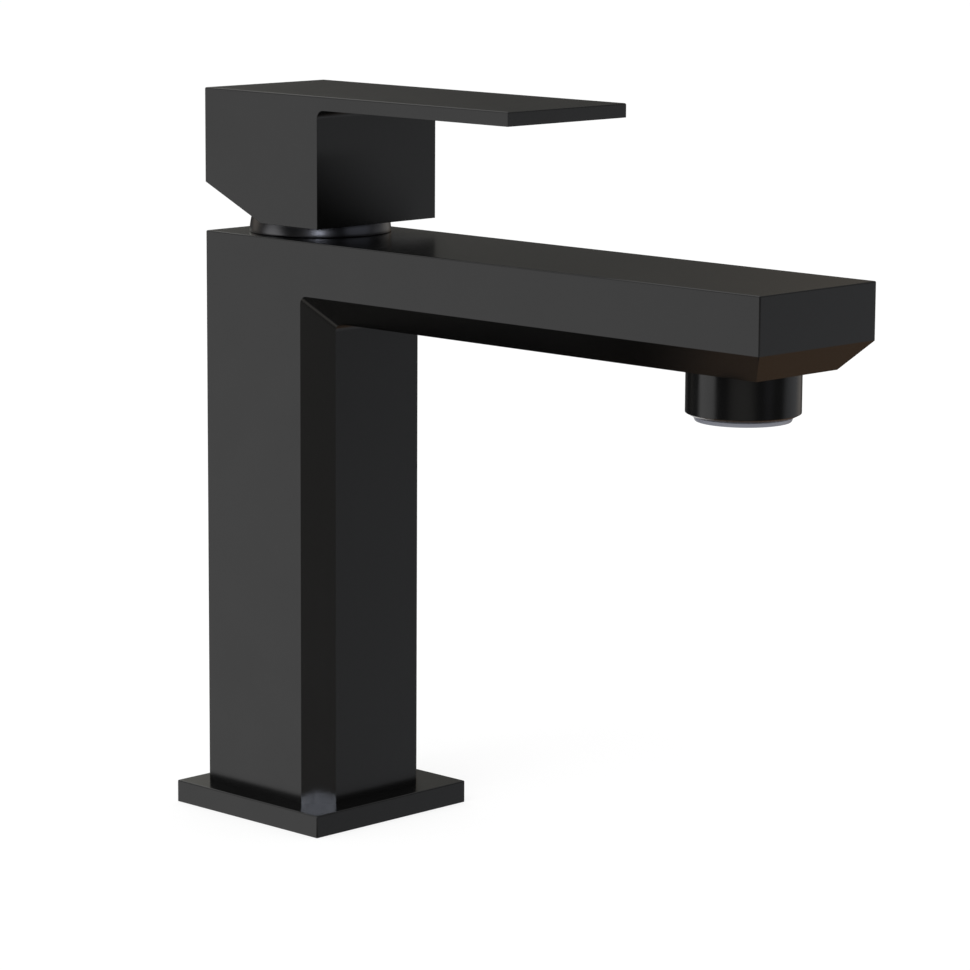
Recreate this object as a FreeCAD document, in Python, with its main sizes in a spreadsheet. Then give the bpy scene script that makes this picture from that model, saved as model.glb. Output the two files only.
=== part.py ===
import FreeCAD, Part
import math
import os
import Sketcher
from FreeCAD import Vector

# A single-lever bathroom mixer. The origin is on the column's axis at the deck,
# +X points along the spout and +Z is up. All lengths are millimetres.

SIZES = {
    # cast body: square column and flat spout
    "column_width": 40.0,
    "column_depth": 40.0,
    "body_top": 145.0,
    "spout_reach": 159.3,
    "spout_height": 20.0,
    "chamfer_side": 6.1,
    "chamfer_front": 6.0,
    "chamfer_rise": 6.7,
    "tip_chamfer": 5.8,
    "corner_round": 2.0,
    "edge_round": 0.35,
    # foot of the column and its cover plate
    "plate_thick": 5.5,
    "plate_overhang": 5.7,
    "foot_spigot_radius": 17.0,
    "foot_spigot_lift": 1.0,
    "hose_recess_radius": 14.5,
    "hose_recess_height": 26.0,
    "plate_clearance": 0.2,
    "gasket_inset": 2.0,
    "gasket_width": 4.0,
    "gasket_thick": 2.2,
    # connections inside the foot
    "inlet_radius": 4.46,
    "inlet_depth": 12.0,
    "inlet_ahead": 3.5,
    "inlet_aside": 7.5,
    "stud_radius": 3.4,
    "stud_depth": 14.0,
    "stud_behind": 9.5,
    # waterways
    "channel_radius": 3.0,
    "port_aside": 6.0,
    "outlet_height": 5.5,
    "outlet_width": 14.0,
    "outlet_lift": 3.5,
    "outlet_round": 2.0,
    "duct_wall": 9.5,
    "duct_end_wall": 6.0,
    "duct_width": 30.0,
    "duct_floor_wall": 4.0,
    "duct_roof_wall": 3.5,
    "duct_round": 4.0,
    "neck_width": 12.0,
    "neck_height": 5.0,
    # cartridge
    "cartridge_radius": 12.5,
    "cartridge_gap": 0.95,
    "base_thick": 6.5,
    "port_seal_radius": 4.2,
    "port_seal_thick": 2.2,
    "port_seal_width": 1.3,
    "seal_clearance": 0.1,
    "locator_radius": 1.5,
    "locator_length": 3.0,
    "locator_behind": 8.5,
    "locator_aside": 4.0,
    "locator_clearance": 0.2,
    "mixed_exit_start": 2.5,
    "mixed_exit_width": 6.0,
    "mixed_exit_depth": 4.0,
    "disc_thick": 3.0,
    "disc_inlet_radius": 1.9,
    "disc_inlet_aside": 4.8,
    "disc_outlet_radius": 2.4,
    "disc_outlet_ahead": 6.0,
    "disc_film": 0.05,
    "fixed_disc_clearance": 0.2,
    "moving_disc_inset": 0.2,
    "mixing_depth": 1.5,
    "mixing_bar_length": 12.8,
    "mixing_bar_back": 4.2,
    "mixing_bar_front": 0.2,
    "mixing_stem_width": 4.8,
    "mixing_stem_front": 5.0,
    "carrier_clearance": 0.4,
    "carrier_floor": 1.75,
    "carrier_cover": 1.2,
    "lug_inside": 5.2,
    "lug_width": 2.0,
    "lug_length": 6.0,
    "lug_height": 2.2,
    "shell_wall": 1.4,
    "shell_rise": 6.0,
    "shell_lip": 2.0,
    "flange_gap": 0.3,
    "flange_thick": 1.8,
    "flange_drop": 6.4,
    "ring_section": 1.6,
    "ring_drop": 2.2,
    "groove_depth": 0.75,
    "turret_clearance": 0.3,
    "turret_step": 0.8,
    "turret_rise": 7.0,
    "slot_back": 8.0,
    "slot_front": 7.3,
    "pin_radius": 1.5,
    "pin_inset": 0.8,
    "pin_fit": 0.05,
    "pin_press": 0.01,
    # spindle
    "pivot_drop": 0.5,
    "arm_below_pivot": 10.0,
    "disc_travel": 4.226,
    "ball_radius": 2.7,
    "ball_play": 0.3,
    "socket_depth_play": 0.5,
    "neck_radius": 2.0,
    "blade_width": 8.0,
    "blade_thick": 6.0,
    "blade_below": 4.5,
    "blade_above": 10.0,
    "stem_square": 8.0,
    "stem_above": 26.0,
    # nut and dome over the cartridge
    "nut_wall": 1.75,
    "nut_bore_gap": 0.15,
    "nut_rise": 4.8,
    "nut_notch_width": 4.0,
    "nut_notch_depth": 1.5,
    "thread_gap": 0.1,
    "dome_foot_wall": 3.0,
    "dome_shell": 1.5,
    "dome_mouth_radius": 12.0,
    # handle
    "handle_gap": 3.26,
    "block_height": 28.54,
    "lever_thick": 3.4,
    "lever_reach": 83.3,
    "lever_round": 2.0,
    "heel_rise": 8.74,
    "dome_clearance": 0.6,
    "stem_clearance": 0.1,
    "stem_headroom": 0.5,
    "screw_radius": 2.5,
    "screw_length": 9.0,
    "screw_below_top": 4.0,
    "screw_fit": 0.05,
    "hex_flats": 2.5,
    "hex_depth": 3.0,
    "plug_ledge": 0.45,
    "plug_length": 2.5,
    # aerator under the spout tip
    "aerator_reach": 138.0,
    "aerator_radius": 13.13,
    "aerator_height": 9.8,
    "aerator_lip_width": 0.25,
    "aerator_lip_height": 0.9,
    "aerator_thread_radius": 11.95,
    "aerator_thread_height": 6.5,
    "aerator_wall": 0.9,
    "aerator_throat_radius": 8.5,
    "insert_rim_lap": 0.25,
    "insert_rim_height": 1.0,
    "insert_taper": 0.4,
    "insert_rim_wall": 0.9,
    "insert_wall": 1.4,
    "insert_height": 12.0,
    "jet_plate_thick": 3.5,
    "jet_recess": 0.5,
    "jet_radius": 1.1,
    "jet_pitch": 2.75,
    "screen_thick": 0.6,
    "screen_hole_radius": 0.9,
    "washer_thick": 2.0,
    "washer_width": 3.2,
    # how far a cutting outline reaches past the face that it cuts
    "overrun": 1.0,
}
JET_RINGS = 3
HOLES_PER_RING = 6
NUT_NOTCHES = 6
FULL_TURN = 360
SAME_PLACE = 0.01


# Sizes that carry their formula

class Size:
    """A length together with the formula that ties it to the sheet."""

    def __init__(self, value, formula):
        self.value = value
        self.formula = formula

    def __add__(self, other):
        return joined(self, "+", other, self.value + sized(other).value)

    def __radd__(self, other):
        return sized(other) + self

    def __sub__(self, other):
        return joined(self, "-", other, self.value - sized(other).value)

    def __rsub__(self, other):
        return sized(other) - self

    def __mul__(self, other):
        return joined(self, "*", other, self.value * sized(other).value)

    def __rmul__(self, other):
        return sized(other) * self

    def __truediv__(self, other):
        return joined(self, "/", other, self.value / sized(other).value)

    def __neg__(self):
        return sized(0) - self


class Loose:
    """A coordinate that follows from an arc, given only as the place where solving starts."""

    def __init__(self, start):
        self.value = sized(start).value


def sized(number):
    if isinstance(number, Size):
        return number
    return Size(float(number), str(float(number)))


def joined(left, sign, right, value):
    return Size(value, f"({left.formula} {sign} {sized(right).formula})")


def root(square):
    return Size(math.sqrt(square.value), f"sqrt({square.formula})")


doc = FreeCAD.newDocument("mixer_faucet")
sheet = doc.addObject("Spreadsheet::Sheet", "sizes")
for row, (alias, number) in enumerate(SIZES.items(), 1):
    sheet.set(f"A{row}", alias)
    sheet.set(f"B{row}", str(number))
    sheet.setAlias(f"B{row}", alias)
doc.recompute()


def size(alias):
    return Size(float(sheet.get(alias)), f"sizes.{alias}")


# Sketches and features

def new_body(label):
    body = doc.addObject("PartDesign::Body", label)
    body.Label = label
    return body


def new_sketch(body, plane_role, shift=None):
    """A sketch on one of the body's own planes, moved along the plane's normal by shift."""
    sketch = body.newObject("Sketcher::SketchObject", f"{body.Label}_sketch")
    plane = next(item for item in body.Origin.OriginFeatures if item.Role == plane_role)
    sketch.AttachmentSupport = [(plane, "")]
    sketch.MapMode = "FlatFace"
    if shift is not None:
        sketch.setExpression("AttachmentOffset.Base.z", shift.formula)
    return sketch


def hold(sketch, direction, geometry, end, place):
    """Fix one coordinate of a point, unless an arc already settles it."""
    if isinstance(place, Loose):
        return
    place = sized(place)
    if place.formula == "0.0":
        axis = -2 if direction == "DistanceX" else -1
        sketch.addConstraint(Sketcher.Constraint("PointOnObject", geometry, end, axis))
        return
    rule = Sketcher.Constraint(direction, -1, 1, geometry, end, place.value)
    number = sketch.addConstraint(rule)
    sketch.setExpression(f"Constraints[{number}]", place.formula)


def hold_radius(sketch, geometry, radius):
    number = sketch.addConstraint(Sketcher.Constraint("Radius", geometry, radius.value))
    sketch.setExpression(f"Constraints[{number}]", radius.formula)


def start_of(place):
    return place.value if isinstance(place, Loose) else sized(place).value


def draw_circle(sketch, across, along, radius):
    centre = Vector(start_of(across), start_of(along), 0)
    geometry = sketch.addGeometry(Part.Circle(centre, Vector(0, 0, 1), radius.value))
    hold(sketch, "DistanceX", geometry, 3, across)
    hold(sketch, "DistanceY", geometry, 3, along)
    hold_radius(sketch, geometry, radius)


def draw_outline(sketch, corners, arcs=None):
    """A closed loop through the corners.

    arcs maps the number of the corner that an arc starts from to its centre, its radius
    and whether it turns anticlockwise.
    """
    arcs = arcs or {}
    places = [Vector(start_of(x), start_of(y), 0) for x, y in corners]
    lines = []
    for number, begin in enumerate(places):
        finish = places[(number + 1) % len(places)]
        if number in arcs:
            (centre_x, centre_y), radius, anticlockwise = arcs[number]
            centre = Vector(start_of(centre_x), start_of(centre_y), 0)
            first, last = (begin, finish) if anticlockwise else (finish, begin)
            circle = Part.Circle(centre, Vector(0, 0, 1), radius.value)
            angles = [math.atan2(p.y - centre.y, p.x - centre.x) for p in (first, last)]
            geometry = sketch.addGeometry(Part.ArcOfCircle(circle, *angles))
            hold(sketch, "DistanceX", geometry, 3, centre_x)
            hold(sketch, "DistanceY", geometry, 3, centre_y)
            hold_radius(sketch, geometry, radius)
            ends = (1, 2) if anticlockwise else (2, 1)
        else:
            geometry = sketch.addGeometry(Part.LineSegment(begin, finish))
            ends = (1, 2)
        lines.append((geometry, ends))
    for number, (geometry, ends) in enumerate(lines):
        following, its_ends = lines[(number + 1) % len(lines)]
        rule = Sketcher.Constraint("Coincident", geometry, ends[1], following, its_ends[0])
        sketch.addConstraint(rule)
    for (geometry, ends), (x, y) in zip(lines, corners):
        hold(sketch, "DistanceX", geometry, ends[0], x)
        hold(sketch, "DistanceY", geometry, ends[0], y)


def draw_box(sketch, left, right, low, high):
    draw_outline(sketch, [(left, low), (right, low), (right, high), (left, high)])


def draw_rounded_box(sketch, left, right, low, high, radius):
    corners = [
        (left + radius, Loose(low)),
        (right - radius, Loose(low)),
        (Loose(right), low + radius),
        (Loose(right), high - radius),
        (right - radius, Loose(high)),
        (left + radius, Loose(high)),
        (Loose(left), high - radius),
        (Loose(left), low + radius),
    ]
    arcs = {
        1: ((right - radius, low + radius), radius, True),
        3: ((right - radius, high - radius), radius, True),
        5: ((left + radius, high - radius), radius, True),
        7: ((left + radius, low + radius), radius, True),
    }
    draw_outline(sketch, corners, arcs)


def add_feature(body, kind, sketch):
    feature = body.newObject(f"PartDesign::{kind}", f"{body.Label}_{kind.lower()}")
    feature.Profile = sketch
    return feature


def extrude(body, kind, sketch, length, symmetric=False, reverse=False):
    """Pad or Pocket a sketch. A Pad goes along the sketch's normal, a Pocket against it."""
    feature = add_feature(body, kind, sketch)
    feature.setExpression("Length", length.formula)
    feature.SideType = "Symmetric" if symmetric else "One side"
    feature.Reversed = reverse
    return feature


def turn(body, kind, sketch):
    """Revolution or Groove of a sketch about the vertical axis."""
    feature = add_feature(body, kind, sketch)
    feature.ReferenceAxis = (sketch, ["V_Axis"])
    feature.Angle = FULL_TURN
    return feature


def repeat_round(body, feature, count):
    """Copies of a feature spaced evenly about the vertical axis."""
    pattern = body.newObject("PartDesign::PolarPattern", f"{body.Label}_ring")
    axis = next(item for item in body.Origin.OriginFeatures if item.Role == "Z_Axis")
    pattern.Originals = [feature]
    pattern.Axis = (axis, [""])
    pattern.Angle = FULL_TURN
    pattern.Occurrences = count
    body.Tip = pattern
    return pattern


def mirror_across_spout(body, feature):
    """The same feature on the other side of the plane through the column and the spout."""
    mirror = body.newObject("PartDesign::Mirrored", f"{body.Label}_mirror")
    plane = next(item for item in body.Origin.OriginFeatures if item.Role == "XZ_Plane")
    mirror.Originals = [feature]
    mirror.MirrorPlane = (plane, [""])
    body.Tip = mirror
    return mirror


def round_edges(body, radius, wanted):
    """Round the edges of the body's tip that wanted() accepts."""
    doc.recompute()
    base = body.Tip
    names = []
    for number, edge in enumerate(base.Shape.Edges, 1):
        if wanted(edge):
            names.append(f"Edge{number}")
    fillet = body.newObject("PartDesign::Fillet", f"{body.Label}_fillet")
    fillet.Base = (base, names)
    fillet.setExpression("Radius", radius.formula)
    return fillet


def on_level(edge, level):
    return all(abs(vertex.Z - level.value) < SAME_PLACE for vertex in edge.Vertexes)


def is_upright(edge):
    low, high = edge.Vertexes[0].Point, edge.Vertexes[-1].Point
    return Vector(low.x - high.x, low.y - high.y, 0).Length < SAME_PLACE


# Places that several pieces share

half_width = size("column_width") / 2
half_depth = size("column_depth") / 2
body_top = size("body_top")
plate_top = size("plate_thick")
spout_under = body_top - size("spout_height")
spout_tip = size("spout_reach")
overrun = size("overrun")

pivot = body_top - size("pivot_drop")
ball_level = pivot - size("arm_below_pivot")

cartridge_radius = size("cartridge_radius")
chamber_radius = cartridge_radius + size("cartridge_gap")
socket_floor = ball_level - size("ball_radius") - size("socket_depth_play")
moving_disc_top = socket_floor - size("carrier_floor")
moving_disc_low = moving_disc_top - size("disc_thick")
base_top = moving_disc_low - size("disc_film") - size("disc_thick")
chamber_floor = base_top - size("base_thick")
carrier_top = ball_level + size("carrier_cover")
turret_low = carrier_top + size("turret_clearance")
disc_start = -size("disc_travel") / 2
shell_bore = cartridge_radius - size("shell_wall")
carrier_radius = shell_bore - size("disc_travel") / 2 - size("carrier_clearance")
shell_top = pivot + size("shell_rise")
lip_low = shell_top - size("shell_lip")
flange_low = body_top - size("flange_drop")
flange_top = flange_low + size("flange_thick")
ring_level = flange_low - size("ring_drop")
turret_radius = shell_bore - size("turret_clearance")
turret_neck = turret_radius - size("turret_step")
turret_top = pivot + size("turret_rise")
slot_half = size("blade_thick") / 2 + size("turret_clearance")
lug_outside = size("lug_inside") + size("lug_width")
nut_bore = cartridge_radius + size("nut_bore_gap")
nut_radius = nut_bore + size("nut_wall")
nut_top = body_top + size("nut_rise")
dome_bore = nut_radius + size("thread_gap")
dome_radius = dome_bore + size("dome_foot_wall")
handle_low = body_top + size("handle_gap")
lever_low = handle_low + size("block_height")
handle_top = lever_low + size("lever_thick")
stem_top = pivot + size("stem_above")
stem_half = size("stem_square") / 2
screw_level = stem_top - size("screw_below_top")
screw_hole = size("screw_radius") + size("screw_fit")
plug_radius = size("screw_radius") + size("plug_ledge")
socket_half = stem_half + size("stem_clearance")
thread_bore = nut_radius + size("thread_gap")
outlet_low = spout_under + size("outlet_lift")
duct_start = thread_bore + size("duct_wall")
duct_roof = body_top - size("duct_roof_wall")
aerator_reach = size("aerator_reach")
aerator_low = spout_under - size("aerator_height")
aerator_bore = size("aerator_thread_radius") + size("thread_gap")
aerator_thread_top = spout_under + size("aerator_thread_height")
aerator_seat = aerator_thread_top + size("washer_thick")
duct_end = aerator_reach - aerator_bore - size("duct_end_wall")
insert_radius = size("aerator_thread_radius") - size("aerator_wall")
insert_low = aerator_low - size("aerator_lip_height")
insert_top = insert_low + size("insert_height")
rim_low = insert_low - size("insert_rim_height")
jet_low = rim_low + size("jet_recess")
hose_roof = size("hose_recess_height")
recess_radius = size("hose_recess_radius")
spigot_radius = size("foot_spigot_radius")
spigot_low = size("foot_spigot_lift")
plate_hole = spigot_radius + size("plate_clearance")
gasket_inside = plate_hole + size("gasket_inset")
gasket_outside = gasket_inside + size("gasket_width")


# The cast body

def chamfer_window(body, reach):
    """The open space beside the column and under the spout, as far from the middle plane as reach.

    Its edges move into the casting as reach grows, which cuts both lower edges to one mitre.
    """
    share = (reach - half_width + size("chamfer_side")) / size("chamfer_side")
    left = half_depth - share * size("chamfer_front")
    high = spout_under + share * size("chamfer_rise")
    right = spout_tip + overrun
    low = plate_top - overrun
    inner = size("corner_round")
    sketch = new_sketch(body, "XZ_Plane", reach)
    corners = [
        (left, low),
        (right, low),
        (right, high),
        (left + inner, Loose(high)),
        (Loose(left), high - inner),
    ]
    draw_outline(sketch, corners, {3: ((left + inner, high - inner), inner, True)})
    return sketch


def cut_edge_chamfers(body):
    """One planar chamfer down the column's front edge and along the spout's lower edge, each side."""
    outside = chamfer_window(body, half_width + overrun)
    inside = chamfer_window(body, half_width - size("chamfer_side") - overrun)
    loft = add_feature(body, "SubtractiveLoft", outside)
    loft.Sections = [inside]
    loft.Ruled = True
    mirror_across_spout(body, loft)


def cut_tip_chamfer(body):
    slope = size("chamfer_rise") / size("tip_chamfer")
    sketch = new_sketch(body, "XZ_Plane")
    corners = [
        (spout_tip - size("tip_chamfer") - overrun / slope, spout_under - overrun),
        (spout_tip + overrun, spout_under - overrun),
        (spout_tip + overrun, spout_under + size("chamfer_rise") + overrun * slope),
    ]
    draw_outline(sketch, corners)
    extrude(body, "Pocket", sketch, size("column_width") + overrun, symmetric=True)


def cut_cartridge_chamber(body):
    sketch = new_sketch(body, "XZ_Plane")
    corners = [
        (0, chamber_floor),
        (chamber_radius, chamber_floor),
        (chamber_radius, flange_low),
        (thread_bore, flange_low),
        (thread_bore, body_top + overrun),
        (0, body_top + overrun),
    ]
    draw_outline(sketch, corners)
    turn(body, "Groove", sketch)
    locators = new_sketch(body, "XY_Plane", chamber_floor)
    for side in (-1, 1):
        aside = size("locator_aside") * side
        hole = size("locator_radius") + size("locator_clearance")
        draw_circle(locators, -size("locator_behind"), aside, hole)
    extrude(body, "Pocket", locators, size("locator_length") + size("locator_clearance"))


def shape_foot(body):
    """The spigot that centres the cover plate, hollow for the hoses."""
    spigot = new_sketch(body, "XZ_Plane")
    high = plate_top + overrun
    draw_box(spigot, sized(0), spigot_radius, spigot_low, high)
    turn(body, "Revolution", spigot)
    recess = new_sketch(body, "XZ_Plane")
    draw_box(recess, sized(0), recess_radius, spigot_low - overrun, hose_roof)
    turn(body, "Groove", recess)


def drill_connections(body):
    """Hot and cold sockets and the stud hole, with a channel up from each socket."""
    sockets = new_sketch(body, "XY_Plane", hose_roof)
    channel_low = hose_roof + size("inlet_depth")
    channels = new_sketch(body, "XY_Plane", channel_low)
    for side in (-1, 1):
        inlet_aside = size("inlet_aside") * side
        draw_circle(sockets, size("inlet_ahead"), inlet_aside, size("inlet_radius"))
        draw_circle(channels, 0, size("port_aside") * side, size("channel_radius"))
    extrude(body, "Pocket", sockets, size("inlet_depth"), reverse=True)
    extrude(body, "Pocket", channels, chamber_floor - channel_low + overrun, reverse=True)
    stud = new_sketch(body, "XY_Plane", hose_roof)
    draw_circle(stud, -size("stud_behind"), 0, size("stud_radius"))
    extrude(body, "Pocket", stud, size("stud_depth"), reverse=True)


def cut_across(body, start, finish, width, low, high, radius):
    """A passage along the spout with rounded corners."""
    sketch = new_sketch(body, "YZ_Plane", start)
    draw_rounded_box(sketch, -width / 2, width / 2, low, high, radius)
    extrude(body, "Pocket", sketch, finish - start, reverse=True)


def cut_waterway(body):
    """From the cartridge chamber through the hollow spout to the seat of the aerator."""
    outlet_high = outlet_low + size("outlet_height")
    outlet_start = chamber_radius / 2
    outlet_end = duct_start + overrun
    small = size("outlet_round")
    cut_across(body, outlet_start, outlet_end, size("outlet_width"), outlet_low, outlet_high, small)
    duct_low = spout_under + size("duct_floor_wall")
    cut_across(body, duct_start, duct_end, size("duct_width"), duct_low, duct_roof, size("duct_round"))
    neck_low = duct_roof - size("neck_height")
    cut_across(body, duct_end - overrun, aerator_reach, size("neck_width"), neck_low, duct_roof, small)
    seat = new_sketch(body, "XY_Plane", spout_under - overrun)
    draw_circle(seat, aerator_reach, 0, aerator_bore)
    extrude(body, "Pocket", seat, aerator_seat - spout_under + overrun, reverse=True)
    throat = new_sketch(body, "XY_Plane", aerator_seat - overrun)
    draw_circle(throat, aerator_reach, 0, size("aerator_throat_radius"))
    extrude(body, "Pocket", throat, duct_roof - aerator_seat + overrun, reverse=True)


def is_square_corner(edge):
    """The top edges, and the upright edges behind the column and at the spout's tip."""
    if on_level(edge, body_top):
        return True
    across = edge.Vertexes[0].X
    behind = abs(across + half_depth.value) < SAME_PLACE
    ahead = abs(across - spout_tip.value) < SAME_PLACE
    return is_upright(edge) and (behind or ahead)


def make_faucet_body():
    body = new_body("faucet_body")
    side = new_sketch(body, "XZ_Plane")
    inner = size("corner_round")
    corners = [
        (-half_depth, plate_top),
        (half_depth, plate_top),
        (Loose(half_depth), spout_under - inner),
        (half_depth + inner, Loose(spout_under)),
        (spout_tip, spout_under),
        (spout_tip, body_top),
        (-half_depth, body_top),
    ]
    inner_centre = (half_depth + inner, spout_under - inner)
    draw_outline(side, corners, {2: (inner_centre, inner, False)})
    extrude(body, "Pad", side, size("column_width"), symmetric=True)
    cut_edge_chamfers(body)
    cut_tip_chamfer(body)
    round_edges(body, size("edge_round"), is_square_corner)
    shape_foot(body)
    cut_cartridge_chamber(body)
    drill_connections(body)
    cut_waterway(body)
    return body


# The cover plate under the column

def make_base_plate():
    body = new_body("base_plate")
    plate_half_depth = half_depth + size("plate_overhang")
    plate_half_width = half_width + size("plate_overhang")
    outline = new_sketch(body, "XY_Plane")
    draw_box(outline, -plate_half_depth, plate_half_depth, -plate_half_width, plate_half_width)
    extrude(body, "Pad", outline, plate_top)
    round_edges(body, size("edge_round"), lambda edge: is_upright(edge) or on_level(edge, plate_top))
    hole = new_sketch(body, "XZ_Plane")
    draw_box(hole, sized(0), plate_hole, -overrun, plate_top + overrun)
    turn(body, "Groove", hole)
    groove = new_sketch(body, "XZ_Plane")
    draw_box(groove, gasket_inside, gasket_outside, -overrun, size("gasket_thick"))
    turn(body, "Groove", groove)
    return body


def make_ring(label, inside, outside, low, high):
    """A plain turned ring, such as a flat seal."""
    body = new_body(label)
    sketch = new_sketch(body, "XZ_Plane")
    draw_box(sketch, inside, outside, low, high)
    turn(body, "Revolution", sketch)
    return body


def make_base_gasket():
    inside = gasket_inside + size("seal_clearance")
    outside = gasket_outside - size("seal_clearance")
    return make_ring("base_gasket", inside, outside, sized(0), size("gasket_thick"))


# The cartridge, from its bottom up

def make_cartridge_base():
    body = new_body("cartridge_base")
    puck = new_sketch(body, "XZ_Plane")
    draw_box(puck, sized(0), cartridge_radius, chamber_floor, base_top)
    turn(body, "Revolution", puck)
    ports = new_sketch(body, "XY_Plane", chamber_floor - overrun)
    seats = new_sketch(body, "XY_Plane", chamber_floor)
    locators = new_sketch(body, "XY_Plane", chamber_floor)
    for side in (-1, 1):
        port_aside = size("port_aside") * side
        seat_radius = size("port_seal_radius") + size("seal_clearance")
        draw_circle(ports, 0, port_aside, size("channel_radius"))
        draw_circle(seats, 0, port_aside, seat_radius)
        locator_aside = size("locator_aside") * side
        draw_circle(locators, -size("locator_behind"), locator_aside, size("locator_radius"))
    extrude(body, "Pocket", ports, size("base_thick") + overrun * 2, reverse=True)
    extrude(body, "Pocket", seats, size("port_seal_thick"), reverse=True)
    extrude(body, "Pad", locators, size("locator_length"), reverse=True)
    mixed = new_sketch(body, "XY_Plane", base_top)
    half = size("mixed_exit_width") / 2
    draw_box(mixed, size("mixed_exit_start"), cartridge_radius + overrun, -half, half)
    extrude(body, "Pocket", mixed, size("mixed_exit_depth"))
    return body


def make_port_seals():
    outside = doc.addObject("Part::Cylinder", "seal_outside")
    inside = doc.addObject("Part::Cylinder", "seal_inside")
    outside.setExpression("Radius", size("port_seal_radius").formula)
    inside.setExpression("Radius", (size("port_seal_radius") - size("port_seal_width")).formula)
    for piece in (outside, inside):
        piece.setExpression("Height", size("port_seal_thick").formula)
        piece.setExpression("Placement.Base.y", size("port_aside").formula)
        piece.setExpression("Placement.Base.z", chamber_floor.formula)
    ring = doc.addObject("Part::Cut", "seal_ring")
    ring.Base = outside
    ring.Tool = inside
    other = doc.addObject("Part::Mirroring", "seal_ring_mirrored")
    other.Source = ring
    other.Normal = Vector(0, 1, 0)
    pair = doc.addObject("Part::Compound", "port_seals")
    pair.Links = [ring, other]
    pair.Label = "port_seals"
    return pair


def make_fixed_disc():
    body = new_body("fixed_disc")
    disc = new_sketch(body, "XY_Plane", base_top)
    draw_circle(disc, 0, 0, shell_bore - size("fixed_disc_clearance"))
    for side in (-1, 1):
        draw_circle(disc, 0, size("disc_inlet_aside") * side, size("disc_inlet_radius"))
    draw_circle(disc, size("disc_outlet_ahead"), 0, size("disc_outlet_radius"))
    extrude(body, "Pad", disc, size("disc_thick"))
    return body


def make_moving_disc():
    """Its blind recess joins both inlets to the outlet when the disc is pushed forward."""
    body = new_body("moving_disc")
    disc = new_sketch(body, "XY_Plane", moving_disc_low)
    draw_circle(disc, disc_start, 0, carrier_radius - size("moving_disc_inset"))
    extrude(body, "Pad", disc, size("disc_thick"))
    recess = new_sketch(body, "XY_Plane", moving_disc_low)
    back = disc_start - size("mixing_bar_back")
    front = disc_start - size("mixing_bar_front")
    reach = disc_start + size("mixing_stem_front")
    bar_half = size("mixing_bar_length") / 2
    stem = size("mixing_stem_width") / 2
    corners = [
        (back, -bar_half),
        (front, -bar_half),
        (front, -stem),
        (reach, -stem),
        (reach, stem),
        (front, stem),
        (front, bar_half),
        (back, bar_half),
    ]
    draw_outline(recess, corners)
    extrude(body, "Pocket", recess, size("mixing_depth"), reverse=True)
    return body


def make_disc_carrier():
    body = new_body("disc_carrier")
    puck = new_sketch(body, "XY_Plane", moving_disc_top)
    draw_circle(puck, disc_start, 0, carrier_radius)
    extrude(body, "Pad", puck, carrier_top - moving_disc_top)
    lugs = new_sketch(body, "XY_Plane", carrier_top)
    back = disc_start - size("lug_length") / 2
    front = disc_start + size("lug_length") / 2
    draw_box(lugs, back, front, size("lug_inside"), lug_outside)
    draw_box(lugs, back, front, -lug_outside, -size("lug_inside"))
    extrude(body, "Pad", lugs, size("lug_height"))
    socket = new_sketch(body, "XY_Plane", carrier_top)
    draw_circle(socket, 0, 0, size("ball_radius") + size("ball_play"))
    extrude(body, "Pocket", socket, carrier_top - socket_floor)
    return body


def make_cartridge_housing():
    body = new_body("cartridge_housing")
    half_ring = size("ring_section") / 2
    groove_radius = cartridge_radius - size("groove_depth")
    lip_bore = turret_neck + size("turret_clearance")
    flange_radius = thread_bore - size("flange_gap")
    section = new_sketch(body, "XZ_Plane")
    corners = [
        (shell_bore, base_top),
        (cartridge_radius, base_top),
        (cartridge_radius, ring_level - half_ring),
        (groove_radius, ring_level - half_ring),
        (groove_radius, ring_level + half_ring),
        (cartridge_radius, ring_level + half_ring),
        (cartridge_radius, flange_low),
        (flange_radius, flange_low),
        (flange_radius, flange_top),
        (cartridge_radius, flange_top),
        (cartridge_radius, shell_top),
        (lip_bore, shell_top),
        (lip_bore, lip_low),
        (shell_bore, lip_low),
    ]
    draw_outline(section, corners)
    turn(body, "Revolution", section)
    return body


def make_housing_o_ring():
    ring = doc.addObject("Part::Torus", "housing_o_ring")
    half_ring = size("ring_section") / 2
    ring.setExpression("Radius1", (cartridge_radius - size("groove_depth") + half_ring).formula)
    ring.setExpression("Radius2", half_ring.formula)
    ring.setExpression("Placement.Base.z", ring_level.formula)
    ring.Label = "housing_o_ring"
    return ring


def make_turret():
    body = new_body("turret")
    section = new_sketch(body, "XZ_Plane")
    shoulder = lip_low - size("turret_clearance")
    corners = [
        (0, turret_low),
        (turret_radius, turret_low),
        (turret_radius, shoulder),
        (turret_neck, shoulder),
        (turret_neck, turret_top),
        (0, turret_top),
    ]
    draw_outline(section, corners)
    turn(body, "Revolution", section)
    slot = new_sketch(body, "XY_Plane", turret_top)
    draw_box(slot, -size("slot_back"), size("slot_front"), -slot_half, slot_half)
    extrude(body, "Pocket", slot, turret_top - turret_low + overrun)
    grooves = new_sketch(body, "XY_Plane", turret_low)
    play = size("turret_clearance")
    reach = turret_radius + overrun
    draw_box(grooves, -reach, reach, size("lug_inside") - play, lug_outside + play)
    draw_box(grooves, -reach, reach, -lug_outside - play, play - size("lug_inside"))
    extrude(body, "Pocket", grooves, size("lug_height"), reverse=True)
    hole = new_sketch(body, "XZ_Plane")
    draw_circle(hole, 0, pivot, size("pin_radius") + size("pin_press"))
    extrude(body, "Pocket", hole, reach * 2, symmetric=True)
    return body


def make_pivot_pin():
    body = new_body("pivot_pin")
    section = new_sketch(body, "XZ_Plane")
    draw_circle(section, 0, pivot, size("pin_radius"))
    extrude(body, "Pad", section, (turret_radius - size("pin_inset")) * 2, symmetric=True)
    return body


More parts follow.
